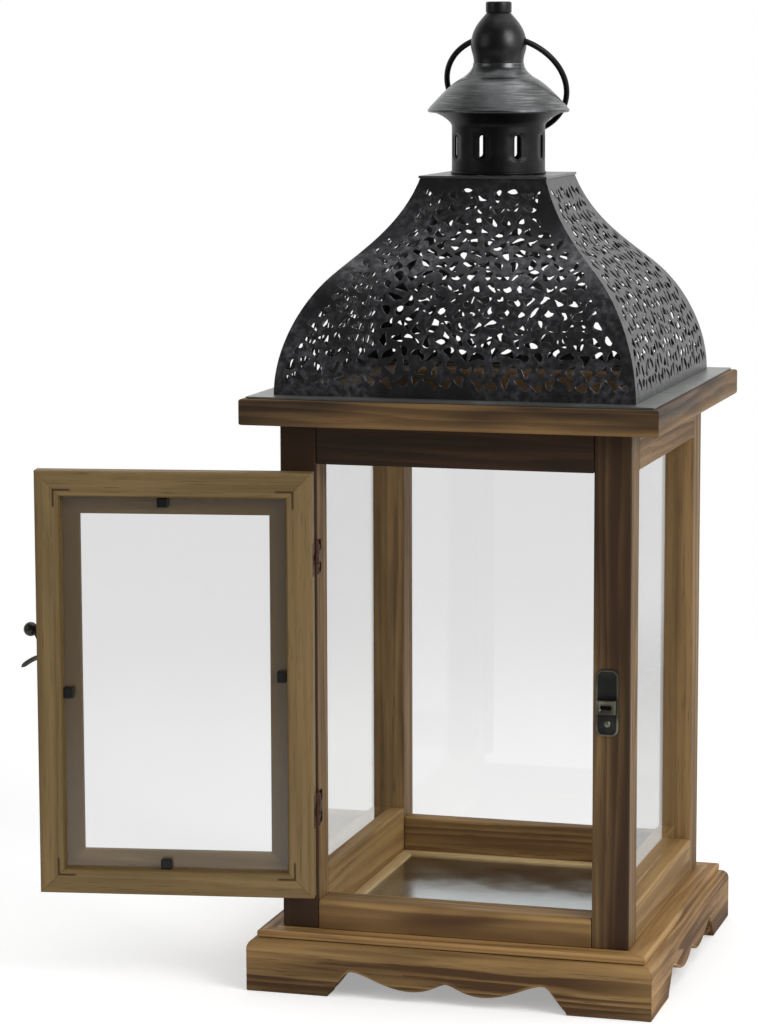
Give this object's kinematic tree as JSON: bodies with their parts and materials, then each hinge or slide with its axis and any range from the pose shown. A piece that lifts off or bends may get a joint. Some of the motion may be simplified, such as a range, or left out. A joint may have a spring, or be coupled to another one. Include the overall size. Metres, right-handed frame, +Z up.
{
  "type": "candle lantern",
  "caption": "Square wooden lantern with glass walls, a hinged glass door with a hook latch, and a pierced ogee metal roof with a chimney and a ring handle.",
  "frame": {"origin": "centre of the candle plate's top face, on the lantern's upright axis", "axes": "+Z up the upright axis, -Y out of the front with the door, +X to the viewer's right, the keeper's side; the door is hinged on the -X side"},
  "size_m": [0.3992, 0.2867, 0.61],
  "materials": {
    "skirt_wood": "stained, torched grain",
    "plinth_wood": "stained",
    "post_wood": "torched dark, satin",
    "header_wood": "torched dark, satin",
    "rail_wood": "stained, satin",
    "bead_wood": "light stain",
    "cap_wood": "torched, satin",
    "door_wood": "stained, satin",
    "clear_glass": "polished",
    "plate_mirror": "silvered",
    "roof_paint": "black satin paint",
    "flange_paint": "dark grey satin paint",
    "chimney_paint": "black satin paint",
    "clip_paint": "black paint",
    "hinge_bronze": "antique bronze",
    "latch_bronze": "antique bronze"
  },
  "bodies": {
    "lantern": {"skirt_front": "skirt_wood", "skirt_right": "skirt_wood", "skirt_back": "skirt_wood", "skirt_left": "skirt_wood", "plinth_board": "plinth_wood", "post_front_left": "post_wood", "post_front_right": "post_wood", "post_back_left": "post_wood", "post_back_right": "post_wood", "header_front": "header_wood", "header_right": "header_wood", "header_back": "header_wood", "header_left": "header_wood", "rail_front": "rail_wood", "rail_right": "rail_wood", "rail_back": "rail_wood", "rail_left": "rail_wood", "floor_bead_front": "bead_wood", "floor_bead_right": "bead_wood", "floor_bead_back": "bead_wood", "floor_bead_left": "bead_wood", "cap_board": "cap_wood", "pane_right": "clear_glass", "pane_back": "clear_glass", "pane_left": "clear_glass", "candle_plate": "plate_mirror", "roof_panel_front": "roof_paint", "roof_panel_right": "roof_paint", "roof_panel_back": "roof_paint", "roof_panel_left": "roof_paint", "roof_top_plate": "roof_paint", "roof_flange": "flange_paint", "chimney_neck": "chimney_paint", "chimney_hat": "chimney_paint", "finial": "chimney_paint", "hinge_lower_post_leaf": "hinge_bronze", "hinge_lower_pin": "hinge_bronze", "hinge_upper_post_leaf": "hinge_bronze", "hinge_upper_pin": "hinge_bronze", "keeper_plate": "latch_bronze", "keeper_screw": "latch_bronze"},
    "door": {"door_stile_hinge": "door_wood", "door_stile_latch": "door_wood", "door_rail_top": "door_wood", "door_rail_bottom": "door_wood", "door_glass": "clear_glass", "glass_clip_top": "clip_paint", "glass_clip_bottom": "clip_paint", "glass_clip_hinge": "clip_paint", "glass_clip_latch": "clip_paint", "hinge_lower_door_leaf": "hinge_bronze", "hinge_upper_door_leaf": "hinge_bronze", "latch_plate": "latch_bronze", "latch_rivet": "latch_bronze", "latch_screw": "latch_bronze"},
    "latch_lever": {"latch_lever": "latch_bronze"},
    "ring_handle": {"ring_handle": "chimney_paint"}
  },
  "joints": [
    {"name": "door_swing", "type": "hinge", "parent": "lantern", "child": "door", "pos_m": [-0.0865, -0.1125, 0], "axis": [0, 0, 1], "range_deg": [-10, 170]},
    {"name": "latch_swing", "type": "hinge", "parent": "door", "child": "latch_lever", "pos_m": [-0.24421, -0.14122, 0.1567], "axis": [0.1736, -0.9848, 0], "range_deg": [-60, 35.4]},
    {"name": "ring_swing", "type": "hinge", "parent": "lantern", "child": "ring_handle", "pos_m": [0, 0, 0.5454], "axis": [1, 0, 0], "range_deg": [0, 286.2]}
  ]
}
